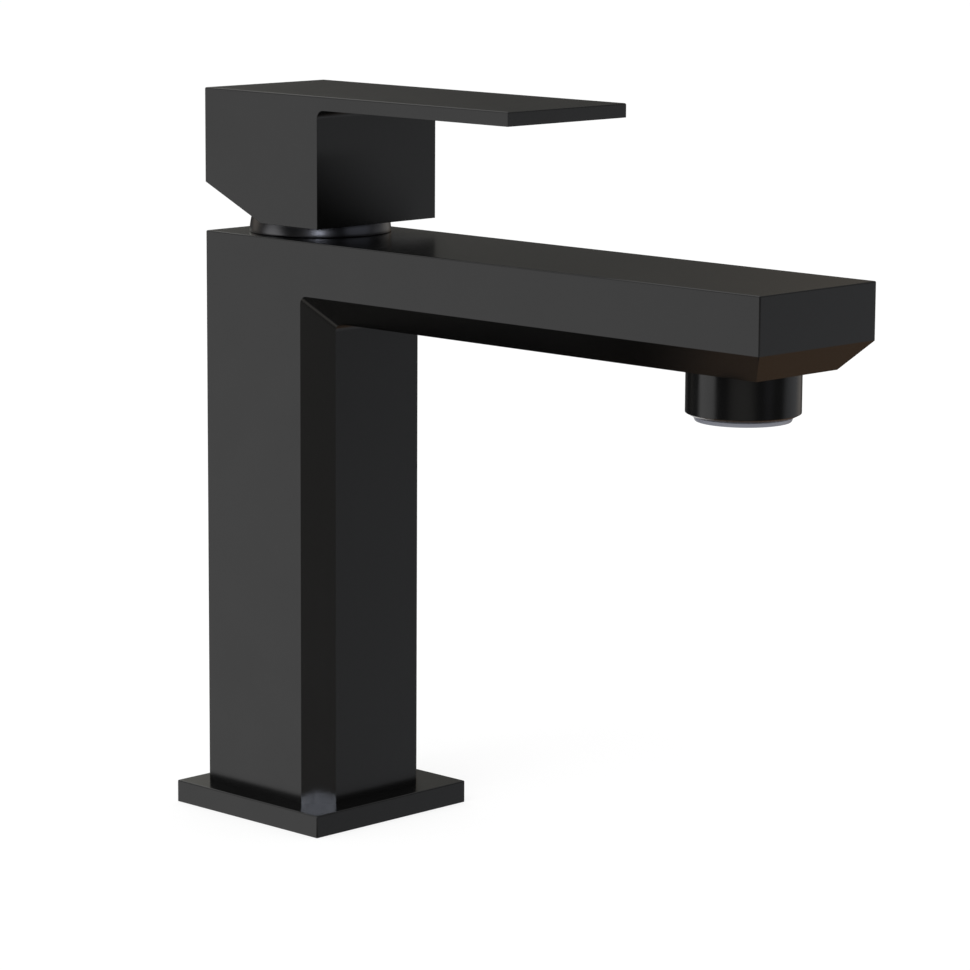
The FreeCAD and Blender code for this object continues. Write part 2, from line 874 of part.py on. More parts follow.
def make_spindle():
    body = new_body("spindle")
    blade = new_sketch(body, "XZ_Plane")
    blade_low = pivot - size("blade_below")
    blade_top = pivot + size("blade_above")
    draw_box(blade, -size("blade_width") / 2, size("blade_width") / 2, blade_low, blade_top)
    extrude(body, "Pad", blade, size("blade_thick"), symmetric=True)
    stem = new_sketch(body, "XZ_Plane")
    draw_box(stem, -stem_half, stem_half, blade_top, stem_top)
    extrude(body, "Pad", stem, size("stem_square"), symmetric=True)
    ball = size("ball_radius")
    neck = size("neck_radius")
    arm = new_sketch(body, "XZ_Plane")
    corners = [
        (0, Loose(ball_level - ball)),
        (neck, Loose(ball_level + root(ball * ball - neck * neck))),
        (neck, blade_low + overrun),
        (0, blade_low + overrun),
    ]
    draw_outline(arm, corners, {0: ((0, ball_level), ball, True)})
    turn(body, "Revolution", arm)
    hole = new_sketch(body, "XZ_Plane")
    draw_circle(hole, 0, pivot, size("pin_radius") + size("pin_fit"))
    extrude(body, "Pocket", hole, size("blade_thick") + overrun, symmetric=True)
    return body


# The nut and the dome that cover the cartridge

def make_cartridge_nut():
    body = make_ring("cartridge_nut", nut_bore, nut_radius, flange_top, nut_top)
    notch = new_sketch(body, "XY_Plane", nut_top)
    half = size("nut_notch_width") / 2
    draw_box(notch, nut_bore - overrun, nut_radius + overrun, -half, half)
    pocket = extrude(body, "Pocket", notch, size("nut_notch_depth"))
    repeat_round(body, pocket, NUT_NOTCHES)
    return body


def make_bonnet_dome():
    """A zone of a sphere about the handle's pivot, so that the handle can tilt over it."""
    body = new_body("bonnet_dome")
    mouth = size("dome_mouth_radius")
    hollow = dome_radius - size("dome_shell")
    drop = size("pivot_drop")
    section = new_sketch(body, "XZ_Plane")
    corners = [
        (dome_bore, body_top),
        (Loose(root(dome_radius * dome_radius - drop * drop)), body_top),
        (mouth, Loose(pivot + root(dome_radius * dome_radius - mouth * mouth))),
        (mouth, Loose(pivot + root(hollow * hollow - mouth * mouth))),
        (dome_bore, Loose(pivot + root(hollow * hollow - dome_bore * dome_bore))),
    ]
    arcs = {
        1: ((0, pivot), dome_radius, True),
        3: ((0, pivot), hollow, False),
    }
    draw_outline(section, corners, arcs)
    turn(body, "Revolution", section)
    return body


# The handle and what clamps it

def make_handle():
    body = new_body("handle")
    side = new_sketch(body, "XZ_Plane")
    inner = size("lever_round")
    corners = [
        (-half_depth, handle_low + size("heel_rise")),
        (0, handle_low),
        (half_depth, handle_low),
        (Loose(half_depth), lever_low - inner),
        (half_depth + inner, Loose(lever_low)),
        (size("lever_reach"), lever_low),
        (size("lever_reach"), handle_top),
        (-half_depth, handle_top),
    ]
    inner_centre = (half_depth + inner, lever_low - inner)
    draw_outline(side, corners, {3: (inner_centre, inner, False)})
    extrude(body, "Pad", side, size("column_width"), symmetric=True)
    round_edges(body, size("edge_round"), lambda edge: on_level(edge, handle_top))
    hollow = new_sketch(body, "XZ_Plane")
    bowl = dome_radius + size("dome_clearance")
    corners = [(0, pivot), (Loose(bowl), pivot), (0, Loose(pivot + bowl))]
    draw_outline(hollow, corners, {1: ((0, pivot), bowl, True)})
    turn(body, "Groove", hollow)
    socket_low = pivot + size("blade_above")
    socket = new_sketch(body, "XY_Plane", socket_low)
    draw_box(socket, -socket_half, socket_half, -socket_half, socket_half)
    extrude(body, "Pocket", socket, stem_top + size("stem_headroom") - socket_low, reverse=True)
    rear = -half_depth - overrun
    bore = new_sketch(body, "YZ_Plane", rear)
    draw_circle(bore, 0, screw_level, screw_hole)
    extrude(body, "Pocket", bore, -stem_half - rear, reverse=True)
    seat = new_sketch(body, "YZ_Plane", rear)
    draw_circle(seat, 0, screw_level, plug_radius + size("screw_fit"))
    extrude(body, "Pocket", seat, size("plug_length") + overrun, reverse=True)
    return body


def make_grub_screw():
    body = new_body("grub_screw")
    rear = -stem_half - size("screw_length")
    shank = new_sketch(body, "YZ_Plane", rear)
    draw_circle(shank, 0, screw_level, size("screw_radius"))
    extrude(body, "Pad", shank, size("screw_length"))
    flat = size("hex_flats") / 2
    corner = size("hex_flats") / root(sized(3))
    key = new_sketch(body, "YZ_Plane", rear)
    corners = [
        (corner, screw_level),
        (corner / 2, screw_level + flat),
        (-corner / 2, screw_level + flat),
        (-corner, screw_level),
        (-corner / 2, screw_level - flat),
        (corner / 2, screw_level - flat),
    ]
    draw_outline(key, corners)
    extrude(body, "Pocket", key, size("hex_depth"), reverse=True)
    return body


def make_index_plug():
    body = new_body("index_plug")
    section = new_sketch(body, "YZ_Plane", -half_depth)
    draw_circle(section, 0, screw_level, plug_radius)
    extrude(body, "Pad", section, size("plug_length"))
    return body


# The aerator, drawn about its own axis and placed under the spout tip

def set_under_spout(body):
    body.setExpression("Placement.Base.x", aerator_reach.formula)
    return body


def pierce(body, low, high, radius):
    """A hole on the axis and rings of holes about it, through the plate between low and high."""
    start = low - overrun
    length = high - start + overrun
    centre = new_sketch(body, "XY_Plane", start)
    draw_circle(centre, 0, 0, radius)
    extrude(body, "Pocket", centre, length, reverse=True)
    for ring in range(1, JET_RINGS + 1):
        sketch = new_sketch(body, "XY_Plane", start)
        draw_circle(sketch, size("jet_pitch") * ring, 0, radius)
        hole = extrude(body, "Pocket", sketch, length, reverse=True)
        repeat_round(body, hole, HOLES_PER_RING * ring)


def make_aerator_housing():
    body = new_body("aerator_housing")
    bore = insert_radius + size("thread_gap")
    lip_radius = bore + size("aerator_lip_width")
    section = new_sketch(body, "XZ_Plane")
    corners = [
        (bore, insert_low),
        (lip_radius, insert_low),
        (size("aerator_radius"), aerator_low),
        (size("aerator_radius"), spout_under),
        (size("aerator_thread_radius"), spout_under),
        (size("aerator_thread_radius"), aerator_thread_top),
        (bore, aerator_thread_top),
    ]
    draw_outline(section, corners)
    turn(body, "Revolution", section)
    return set_under_spout(body)


def make_aerator_insert():
    body = new_body("aerator_insert")
    rim_radius = insert_radius + size("insert_rim_lap")
    rim = rim_radius - size("insert_taper")
    jet_edge = rim - size("insert_rim_wall")
    cup = insert_radius - size("insert_wall")
    jet_top = jet_low + size("jet_plate_thick")
    section = new_sketch(body, "XZ_Plane")
    corners = [
        (0, jet_low),
        (jet_edge, jet_low),
        (jet_edge, rim_low),
        (rim, rim_low),
        (rim_radius, insert_low),
        (insert_radius, insert_low),
        (insert_radius, insert_top),
        (cup, insert_top),
        (cup, jet_top),
        (0, jet_top),
    ]
    draw_outline(section, corners)
    turn(body, "Revolution", section)
    pierce(body, jet_low, jet_top, size("jet_radius"))
    return set_under_spout(body)


def make_aerator_screen():
    body = new_body("aerator_screen")
    screen_top = insert_top + size("screen_thick")
    section = new_sketch(body, "XZ_Plane")
    draw_box(section, sized(0), insert_radius, insert_top, screen_top)
    turn(body, "Revolution", section)
    pierce(body, insert_top, screen_top, size("screen_hole_radius"))
    return set_under_spout(body)


def make_aerator_washer():
    outside = size("aerator_thread_radius")
    inside = outside - size("washer_width")
    body = make_ring("aerator_washer", inside, outside, aerator_thread_top, aerator_seat)
    return set_under_spout(body)


pieces = [
    make_faucet_body(),
    make_base_plate(),
    make_base_gasket(),
    make_cartridge_base(),
    make_port_seals(),
    make_fixed_disc(),
    make_moving_disc(),
    make_disc_carrier(),
    make_cartridge_housing(),
    make_housing_o_ring(),
    make_turret(),
    make_pivot_pin(),
    make_spindle(),
    make_cartridge_nut(),
    make_bonnet_dome(),
    make_handle(),
    make_grub_screw(),
    make_index_plug(),
    make_aerator_housing(),
    make_aerator_insert(),
    make_aerator_screen(),
    make_aerator_washer(),
]
doc.recompute()

# Every feature has to be sound, and every cut has to take material away

CUTS = ("PartDesign::Pocket", "PartDesign::Groove", "PartDesign::SubtractiveLoft")
for item in doc.Objects:
    if "Invalid" in item.State or "Error" in item.State:
        raise RuntimeError(f"{item.Label} did not compute: {item.State}")
    if item.TypeId in CUTS and not item.Shape.Volume < item.BaseFeature.Shape.Volume:
        raise RuntimeError(f"{item.Label} cuts nothing")
for piece in pieces:
    if piece.Shape.isNull() or not piece.Shape.isValid():
        raise RuntimeError(f"{piece.Label} has no sound shape")

os.makedirs("parts", exist_ok=True)
for piece in pieces:
    piece.Shape.exportStep(f"parts/{piece.Label}.step")
    print(piece.Label, len(piece.Shape.Solids), round(piece.Shape.Volume, 1))
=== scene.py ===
# %% [markdown]
# # A satin black basin mixer
# The solids of the faucet are already built and packed, each node at its true
# size and place. They could be modelled again in Blender, but then nothing would
# be sure to fit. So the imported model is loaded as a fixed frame, and the lesson
# adds only what the eye sees: softened edges, finishes, light and a camera.

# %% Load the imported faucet
import math

import bpy
from mathutils import Matrix, Vector

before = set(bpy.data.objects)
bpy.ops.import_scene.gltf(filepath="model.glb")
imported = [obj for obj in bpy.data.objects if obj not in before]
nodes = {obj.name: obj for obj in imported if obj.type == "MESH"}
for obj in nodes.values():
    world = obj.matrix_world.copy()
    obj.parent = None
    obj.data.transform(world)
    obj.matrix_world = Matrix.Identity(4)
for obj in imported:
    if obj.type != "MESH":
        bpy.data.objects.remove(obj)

scene = bpy.context.scene
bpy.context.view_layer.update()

# %% [markdown]
# ## The camera
# The photograph looks down on the faucet a little, from in front and to the left
# of the spout, through a long lens. A camera can be aimed with a constraint, but
# writing down its three axes keeps the slight roll of the picture as well.

# %% Place the camera
SENSOR_MM = 36
LENS_MM = 147.75
CAMERA_PLACE = Vector((0.7127, -0.6724, 0.2518))
AZIMUTH_DEG = 44.27
ELEVATION_DEG = 9.87
ROLL_DEG = 0.33

azimuth, elevation, roll = (math.radians(angle) for angle in (AZIMUTH_DEG, ELEVATION_DEG, ROLL_DEG))
backwards = Vector((
    math.sin(azimuth) * math.cos(elevation),
    -math.cos(azimuth) * math.cos(elevation),
    math.sin(elevation),
))
level = Vector((math.cos(azimuth), math.sin(azimuth), 0))
upright = backwards.cross(level)
right = math.cos(roll) * level + math.sin(roll) * upright
up = math.cos(roll) * upright - math.sin(roll) * level

lens = bpy.data.cameras.new("photo_camera")
lens.sensor_width = SENSOR_MM
lens.lens = LENS_MM
camera = bpy.data.objects.new("photo_camera", lens)
scene.collection.objects.link(camera)
turned = Matrix((right, up, backwards)).transposed().to_4x4()
camera.matrix_world = Matrix.Translation(CAMERA_PLACE) @ turned
scene.camera = camera
print("camera stands", round(CAMERA_PLACE.length, 3), "m from the foot of the faucet")

# %% [markdown]
# ## Softened edges
# A coated casting has no razor edges: the corners are broken by hand and the coat
# rounds them further. The solids already carry the larger rounds. The rest could
# be faked with a bump, but a real bevel catches the light from every side, so a
# modifier adds one to the pieces that show and leaves their meshes alone. The
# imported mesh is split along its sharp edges, so a weld comes first.

# %% Break the sharp edges
MM = 0.001
SHARP_ANGLE = math.radians(28)
WELD_MM = 0.002
BEVEL_STEPS = 3
LARGE_FACES_ONLY = 100
EDGE_BREAK_MM = {
    "faucet_body": 0.3,
    "handle": 0.3,
    "base_plate": 0.15,
    "aerator_housing": 0.1,
    "bonnet_dome": 0.25,
    "aerator_insert": 0.12,
    "index_plug": 0.15,
}


def soften_edges(piece, width_mm):
    weld = piece.modifiers.new("join_split_edges", "WELD")
    weld.merge_threshold = WELD_MM * MM
    bevel = piece.modifiers.new("broken_edges", "BEVEL")
    bevel.width = width_mm * MM
    bevel.segments = BEVEL_STEPS
    bevel.limit_method = "ANGLE"
    bevel.angle_limit = SHARP_ANGLE
    bevel.use_clamp_overlap = True
    shading = piece.modifiers.new("flat_faces_stay_flat", "WEIGHTED_NORMAL")
    shading.keep_sharp = False
    shading.weight = LARGE_FACES_ONLY


for name, width_mm in EDGE_BREAK_MM.items():
    soften_edges(nodes[name], width_mm)
print("broke the edges of", len(EDGE_BREAK_MM), "pieces")

# %% [markdown]
# ## Colours
# Colours are written as the sRGB hex values that a picture editor shows. Shaders
# count in linear light. The values could be turned by hand, but nobody could read
# them then, so one function turns them all.

# %% From hex to linear light
def linear(hex_colour):
    """An sRGB hex value as linear red, green, blue and a full alpha."""
    channels = [int(hex_colour[place:place + 2], 16) / 255 for place in (1, 3, 5)]
    return [((c + 0.055) / 1.055) ** 2.4 if c > 0.04045 else c / 12.92 for c in channels] + [1.0]


print("linear value of mid grey:", round(linear("#808080")[0], 4))

# %% [markdown]
# ## Shader nodes
# A finish is a small net of nodes. It could be drawn by hand in the shader editor,
# but a script can be read and run again. One function adds a node, sets its values
# and links its sockets, which keeps each material short. Every finish of the faucet
# starts from one principled shader and from the piece's own coordinates, so its
# pattern moves with the piece.

# %% Helpers for nodes
def add_node(tree, kind, inputs=None, **settings):
    """A node with its settings. Each input is a value or another node's socket."""
    node = tree.nodes.new(kind)
    for name, value in settings.items():
        setattr(node, name, value)
    for name, value in (inputs or {}).items():
        if isinstance(value, bpy.types.NodeSocket):
            tree.links.new(value, node.inputs[name])
        else:
            node.inputs[name].default_value = value
    return node


def empty_nodes(owner):
    """The node tree of a material or world, with nothing in it yet."""
    owner.use_nodes = True
    owner.node_tree.nodes.clear()
    return owner.node_tree


def start_material(name):
    """A material, its tree, its principled shader and the piece's own coordinates in metres."""
    material = bpy.data.materials.new(name)
    tree = empty_nodes(material)
    shader = add_node(tree, "ShaderNodeBsdfPrincipled")
    add_node(tree, "ShaderNodeOutputMaterial", {"Surface": shader.outputs["BSDF"]})
    place = add_node(tree, "ShaderNodeTexCoord").outputs["Object"]
    return material, tree, shader, place


print("plain materials that come with the packed model:", len(bpy.data.materials))

# %% [markdown]
# ## Bare brass in the foot
# The body is cast brass with a black coat. Low inside the column, where the hoses
# come in, the coat is left off and the bored brass shows, yellow with a soft shine.
# Two materials could share the mesh, but it has only one slot. So the place on the
# piece decides between coat and brass, by a helper that the coat then calls.

# %% Leave the coat off inside the foot
BARE_BRASS = "#b8904a"
BARE_ROUGHNESS = 0.35
BARE_RADIUS_MM = 17.2
BARE_HEIGHT_MM = 60


def bare_the_foot(tree, shader, place, colour, gloss):
    """Swaps the coat for brass low inside the column. Gives back the new colour and roughness."""
    parts = add_node(tree, "ShaderNodeSeparateXYZ", {"Vector": place})
    flat = add_node(tree, "ShaderNodeCombineXYZ", {
        "X": parts.outputs["X"], "Y": parts.outputs["Y"]})
    reach = add_node(tree, "ShaderNodeVectorMath", {"Vector": flat.outputs["Vector"]},
                     operation="LENGTH")
    within = add_node(tree, "ShaderNodeMath", {
        0: reach.outputs["Value"], 1: BARE_RADIUS_MM * MM}, operation="LESS_THAN")
    low = add_node(tree, "ShaderNodeMath", {
        0: parts.outputs["Z"], 1: BARE_HEIGHT_MM * MM}, operation="LESS_THAN")
    bare = add_node(tree, "ShaderNodeMath", {
        0: within.outputs["Value"], 1: low.outputs["Value"]}, operation="MULTIPLY").outputs["Value"]
    finish = add_node(tree, "ShaderNodeMix", {
        "Factor": bare, "A": colour, "B": linear(BARE_BRASS)}, data_type="RGBA")
    rough = add_node(tree, "ShaderNodeMix", {0: bare, 2: gloss, 3: BARE_ROUGHNESS})
    tree.links.new(bare, shader.inputs["Metallic"])
    return finish.outputs["Result"], rough.outputs["Result"]


print("brass stays bare", BARE_HEIGHT_MM, "mm up and", BARE_RADIUS_MM, "mm around the column's axis")

# %% [markdown]
# ## Satin black coat
# The body, the plate and the lever are polished and then coated with a black lacquer
# that is baked on. It is nearly black itself, so almost all that shows on it is the
# room, mirrored faintly as on any clear lacquer. A plain shader would mirror it as
# evenly as a screen does. The real coat keeps a slight orange peel about a
# millimetre across, and its gloss varies a little in patches as wide as a thumb, so
# two noises give it these.

# %% Black lacquer
COAT_BLACK = "#060606"
COAT_WORN = "#080808"
COAT_IOR = 1.5
SATIN = 0.22
SATIN_SWAY = 0.015
PATCH_MM = 18
PEEL_STRENGTH = 0.12
PEEL_DEPTH_MM = 0.02
# most values of a noise texture lie between these two
NOISE_LOW = 0.3
NOISE_HIGH = 0.7


def per_metre(pattern_mm):
    """How often a pattern of that size in millimetres repeats in a metre."""
    return 1 / (pattern_mm * MM)


def black_coat(name, peel_mm, bare_inside=False):
    material, tree, shader, place = start_material(name)
    patches = add_node(tree, "ShaderNodeTexNoise", {
        "Vector": place, "Scale": per_metre(PATCH_MM), "Detail": 3.0})
    peel = add_node(tree, "ShaderNodeTexNoise", {
        "Vector": place, "Scale": per_metre(peel_mm), "Detail": 1.0})
    colour = add_node(tree, "ShaderNodeMix", {
        "Factor": patches.outputs["Fac"], "A": linear(COAT_BLACK), "B": linear(COAT_WORN)},
        data_type="RGBA").outputs["Result"]
    gloss = add_node(tree, "ShaderNodeMapRange", {
        "Value": patches.outputs["Fac"], "From Min": NOISE_LOW, "From Max": NOISE_HIGH,
        "To Min": SATIN - SATIN_SWAY, "To Max": SATIN + SATIN_SWAY}).outputs["Result"]
    bump = add_node(tree, "ShaderNodeBump", {
        "Height": peel.outputs["Fac"], "Strength": PEEL_STRENGTH, "Distance": PEEL_DEPTH_MM * MM})
    if bare_inside:
        colour, gloss = bare_the_foot(tree, shader, place, colour, gloss)
    shader.inputs["IOR"].default_value = COAT_IOR
    tree.links.new(colour, shader.inputs["Base Color"])
    tree.links.new(gloss, shader.inputs["Roughness"])
    tree.links.new(bump.outputs["Normal"], shader.inputs["Normal"])
    return material


coats = {
    "faucet_body": black_coat("baked_black_lacquer_on_cast_brass", peel_mm=1.2, bare_inside=True),
    "base_plate": black_coat("baked_black_lacquer_on_pressed_plate", peel_mm=1.0),
    "handle": black_coat("baked_black_lacquer_on_die_cast_lever", peel_mm=1.1),
}
for name, finish in coats.items():
    nodes[name].material_slots[0].material = finish
print("coated", ", ".join(coats))

# %% [markdown]
# ## Turned black rings
# The dome and the aerator's housing are turned on a lathe, so they are smoother
# than the casting and carry rings left by the tool. The housing then gets the
# black lacquer, and the dome, which the handle rubs past, gets black nickel, a dark
# metal that mirrors twice as much as lacquer does. The rings could be cut into the
# mesh, but they are far too shallow to change its outline, so a wave that runs up
# the piece bumps the shading. Real rings lie about 0.1 mm apart, too fine for the
# picture, so they are drawn eight times as wide.

# %% Black finishes on turned brass
RING_MM = 0.8
RING_STRENGTH = 0.1
RING_DEPTH_MM = 0.01
SMUDGE_MM = 9
TURNED_SWAY = 0.02
# a wave texture of scale 1 has this many bands in a metre
WAVES_PER_UNIT = 20 / math.tau


def turned_black(name, light, dark, roughness, metallic):
    material, tree, shader, place = start_material(name)
    rings = add_node(tree, "ShaderNodeTexWave", {
        "Vector": place, "Scale": per_metre(RING_MM) / WAVES_PER_UNIT,
        "Distortion": 0.4, "Detail": 2.0}, wave_type="BANDS", bands_direction="Z")
    smudge = add_node(tree, "ShaderNodeTexNoise", {
        "Vector": place, "Scale": per_metre(SMUDGE_MM), "Detail": 2.0})
    gloss = add_node(tree, "ShaderNodeMapRange", {
        "Value": smudge.outputs["Fac"], "From Min": NOISE_LOW, "From Max": NOISE_HIGH,
        "To Min": roughness - TURNED_SWAY, "To Max": roughness + TURNED_SWAY})
    colour = add_node(tree, "ShaderNodeMix", {
        "Factor": smudge.outputs["Fac"], "A": linear(dark), "B": linear(light)},
        data_type="RGBA")
    bump = add_node(tree, "ShaderNodeBump", {
        "Height": rings.outputs["Fac"], "Strength": RING_STRENGTH, "Distance": RING_DEPTH_MM * MM})
    shader.inputs["Metallic"].default_value = metallic
    tree.links.new(colour.outputs["Result"], shader.inputs["Base Color"])
    tree.links.new(gloss.outputs["Result"], shader.inputs["Roughness"])
    tree.links.new(bump.outputs["Normal"], shader.inputs["Normal"])
    return material


nodes["bonnet_dome"].material_slots[0].material = turned_black(
    "black_nickel_on_turned_brass", light="#666668", dark="#5a5a5c", roughness=0.3, metallic=1.0)
nodes["aerator_housing"].material_slots[0].material = turned_black(
    "baked_black_lacquer_on_turned_brass", light="#090909", dark="#060606", roughness=0.19, metallic=0.0)
print("finished the dome and the aerator's housing")

# %% [markdown]
# ## What the inner pieces are made of
# A mixer's cartridge is moulded acetal around two lapped ceramic discs, with
# nylon where it slides, rubber where it seals, and steel and brass where it is
# screwed or turned. Most of it hides in the body and could be left grey, but it
# shows when the part is taken apart. So each piece gets the finish of its material,
# listed here with typical values. The real grain is a few hundredths of a
# millimetre. It is drawn about ten times as coarse, so that it shows at all.

# %% Finishes of the inner pieces
INNER_FINISHES = {
    # milky and a little waxy, with a soft broad shine
    "moulded_acetal_natural": dict(
        light="#dedcd2", dark="#d2d0c6", roughness=0.38, grain_mm=0.5, depth_mm=0.01, ior=1.48),
    # cool grey and smooth, from a polished mould
    "moulded_acetal_grey": dict(
        light="#91939d", dark="#888a94", roughness=0.32, grain_mm=0.5, depth_mm=0.008, ior=1.48),
    # deep black that greys where it is seen at a slant
    "moulded_nylon_black": dict(
        light="#1d1d1e", dark="#161617", roughness=0.42, grain_mm=0.4, depth_mm=0.012, ior=1.53),
    # ivory, and so flat that it mirrors
    "lapped_alumina_ceramic": dict(
        light="#efece3", dark="#e8e4da", roughness=0.16, grain_mm=0.3, depth_mm=0.002, ior=1.76),
    # dull black with almost no highlight
    "moulded_nitrile_rubber": dict(
        light="#1b1b1b", dark="#131313", roughness=0.6, grain_mm=0.35, depth_mm=0.02, ior=1.52),
    # pale grey metal with a fine bright grain
    "stainless_steel_ground": dict(
        light="#b9b8b4", dark="#a6a5a2", roughness=0.3, grain_mm=0.25, depth_mm=0.004, metallic=1.0),
    # yellow metal, a little smoother than the steel
    "turned_brass": dict(
        light="#c6a15a", dark="#b08a48", roughness=0.27, grain_mm=0.3, depth_mm=0.004, metallic=1.0),
}
WEARS = {
    "moulded_acetal_natural": ["cartridge_base", "cartridge_housing"],
    "moulded_acetal_grey": ["aerator_insert"],
    "moulded_nylon_black": ["turret", "disc_carrier", "index_plug"],
    "lapped_alumina_ceramic": ["fixed_disc", "moving_disc"],
    "moulded_nitrile_rubber": ["base_gasket", "port_seals", "housing_o_ring", "aerator_washer"],
    "stainless_steel_ground": ["pivot_pin", "grub_screw", "aerator_screen"],
    "turned_brass": ["spindle", "cartridge_nut"],
}
print(len(INNER_FINISHES), "finishes for", sum(len(pieces) for pieces in WEARS.values()), "inner pieces")

# %% [markdown]
# ## One recipe for them all
# Moulded, ground and turned surfaces are alike in one way: the colour varies a
# little in patches, and a grain breaks up the gloss. Seven node nets could be
# written out, but one recipe with the values from the list does the same.

# %% Finish the inner pieces
INNER_PATCH_MM = 6
INNER_SWAY = 0.1
GRAIN_STRENGTH = 0.3
DEFAULT_IOR = 1.5


def inner_finish(name, light, dark, roughness, grain_mm, depth_mm, metallic=0.0, ior=DEFAULT_IOR):
    material, tree, shader, place = start_material(name)
    patches = add_node(tree, "ShaderNodeTexNoise", {
        "Vector": place, "Scale": per_metre(INNER_PATCH_MM), "Detail": 3.0})
    grain = add_node(tree, "ShaderNodeTexNoise", {
        "Vector": place, "Scale": per_metre(grain_mm), "Detail": 2.0})
    colour = add_node(tree, "ShaderNodeMix", {
        "Factor": patches.outputs["Fac"], "A": linear(dark), "B": linear(light)}, data_type="RGBA")
    gloss = add_node(tree, "ShaderNodeMapRange", {
        "Value": grain.outputs["Fac"], "From Min": NOISE_LOW, "From Max": NOISE_HIGH,
        "To Min": roughness * (1 - INNER_SWAY), "To Max": roughness * (1 + INNER_SWAY)})
    bump = add_node(tree, "ShaderNodeBump", {
        "Height": grain.outputs["Fac"], "Strength": GRAIN_STRENGTH, "Distance": depth_mm * MM})
    shader.inputs["Metallic"].default_value = metallic
    shader.inputs["IOR"].default_value = ior
    tree.links.new(colour.outputs["Result"], shader.inputs["Base Color"])
    tree.links.new(gloss.outputs["Result"], shader.inputs["Roughness"])
    tree.links.new(bump.outputs["Normal"], shader.inputs["Normal"])
    return material


for name, recipe in INNER_FINISHES.items():
    finish = inner_finish(name, **recipe)
    for piece in WEARS[name]:
        nodes[piece].material_slots[0].material = finish
    print(name, "on", ", ".join(WEARS[name]))

# %% [markdown]
# ## The floor
# The faucet stands on a plain white sweep. Lit to full white it would also bleach
# its own shadow, so to the camera it is part surface, which takes the shadow, and
# part glow, which lifts the rest to white. Mirrors look past it into the room.

# %% White floor
FLOOR_REACH = 8
FLOOR_DROP_MM = 0.1
FLOOR_SHARE = 0.3
FLOOR_LIFT = 0.76
SWEEP_WHITE = "#e6e6e6"

corners = [(x * FLOOR_REACH, y * FLOOR_REACH, 0) for x, y in ((-1, -1), (1, -1), (1, 1), (-1, 1))]
sheet = bpy.data.meshes.new("white_floor")
sheet.from_pydata(corners, [], [(0, 1, 2, 3)])
floor = bpy.data.objects.new("white_floor", sheet)
scene.collection.objects.link(floor)
floor.location.z = -FLOOR_DROP_MM * MM
floor.visible_glossy = False

paper = bpy.data.materials.new("matt_white_sweep")
tree = empty_nodes(paper)
ray = add_node(tree, "ShaderNodeLightPath")
plain = add_node(tree, "ShaderNodeBsdfDiffuse", {"Color": linear(SWEEP_WHITE)})
shaded = add_node(tree, "ShaderNodeBsdfDiffuse", {"Color": (FLOOR_SHARE, FLOOR_SHARE, FLOOR_SHARE, 1)})
glow = add_node(tree, "ShaderNodeEmission", {"Strength": FLOOR_LIFT})
lifted = add_node(tree, "ShaderNodeAddShader", {0: shaded.outputs["BSDF"], 1: glow.outputs["Emission"]})
seen = add_node(tree, "ShaderNodeMixShader", {
    "Fac": ray.outputs["Is Camera Ray"], 1: plain.outputs["BSDF"], 2: lifted.outputs["Shader"]})
add_node(tree, "ShaderNodeOutputMaterial", {"Surface": seen.outputs["Shader"]})
sheet.materials.append(paper)
print("floor reaches", FLOOR_REACH, "m each way")

# %% [markdown]
# ## What the coat mirrors
# A black object is lit by what it mirrors. The picture shows a bright field low on
# the left, a weaker one low behind on the right, a dim warm ground, a pale glow
# behind that the flat tops mirror, a window behind the camera, and a dark wall
# between them. Area lamps could stand in for all of these, but they have hard rims.
# So each is a soft round field with a direction, a size, a strength and a tint.

# %% Fields of the studio
# name: azimuth and elevation of its middle, radius of its even part and of its rim, strength, colour
FIELDS = {
    "bright_left": (-127, -9, 15, 24, 1.0, "#ffffff"),
    "low_right": (60, -17, 10, 30, 0.40, "#f8faff"),
    "low_front": (-52, -17, 10, 34, 0.23, "#fffaf2"),
    "window": (-46, 17, 9, 20, 0.6, "#eaf0ff"),
    "front_right": (2, 10, 8, 22, 0.35, "#f2f0ff"),
    "side_right": (92, 5, 9, 22, 0.45, "#fffaf4"),
    "side_left": (-176, 8, 8, 18, 0.40, "#fff2e2"),
    "back_left": (154, 19, 8, 18, 0.9, "#fffdf4"),
    "high_back": (140, 26, 8, 26, 0.13, "#fffdf4"),
    "warm_back": (112, 15, 6, 21, 0.26, "#ffe6c8"),
    "high_left": (-170, 46, 20, 40, 0.6, "#ffffff"),
    "ground_back": (99, -46, 10, 44, 0.14, "#ffb868"),
    "ground_front": (-90, -50, 5, 16, 0.65, "#fffaf0"),
    "ground_left": (160, -47, 5, 15, 0.18, "#ffc080"),
    "low_back_left": (142, -23, 6, 16, 0.9, "#ffffff"),
    "floor_shade": (0, -90, 84, 96, 0.05, "#ffffff"),
    "ceiling": (0, 90, 40, 62, 0.5, "#ffffff"),
}


def direction(azimuth_deg, elevation_deg):
    """The unit vector that points that way, with azimuth 0 along +X."""
    a, e = math.radians(azimuth_deg), math.radians(elevation_deg)
    return Vector((math.cos(a) * math.cos(e), math.sin(a) * math.cos(e), math.sin(e)))


left = direction(*FIELDS["bright_left"][:2])
print("the coat mirrors", len(FIELDS), "fields, the brightest towards", [round(axis, 2) for axis in left])

# %% [markdown]
# ## The studio around it
# The fields could come from a picture of a room, but a few nodes make them without
# one. The world adds them up by the way that a ray goes, over a dim wall, and only
# glossy rays see them. To the camera the world is plain white, as it is to a ray
# that goes through something clear, and it lights matt surfaces evenly.

# %% World
DIM_WALL = 0.02
MATT_LIGHT = 0.85
WHITE = linear("#ffffff")

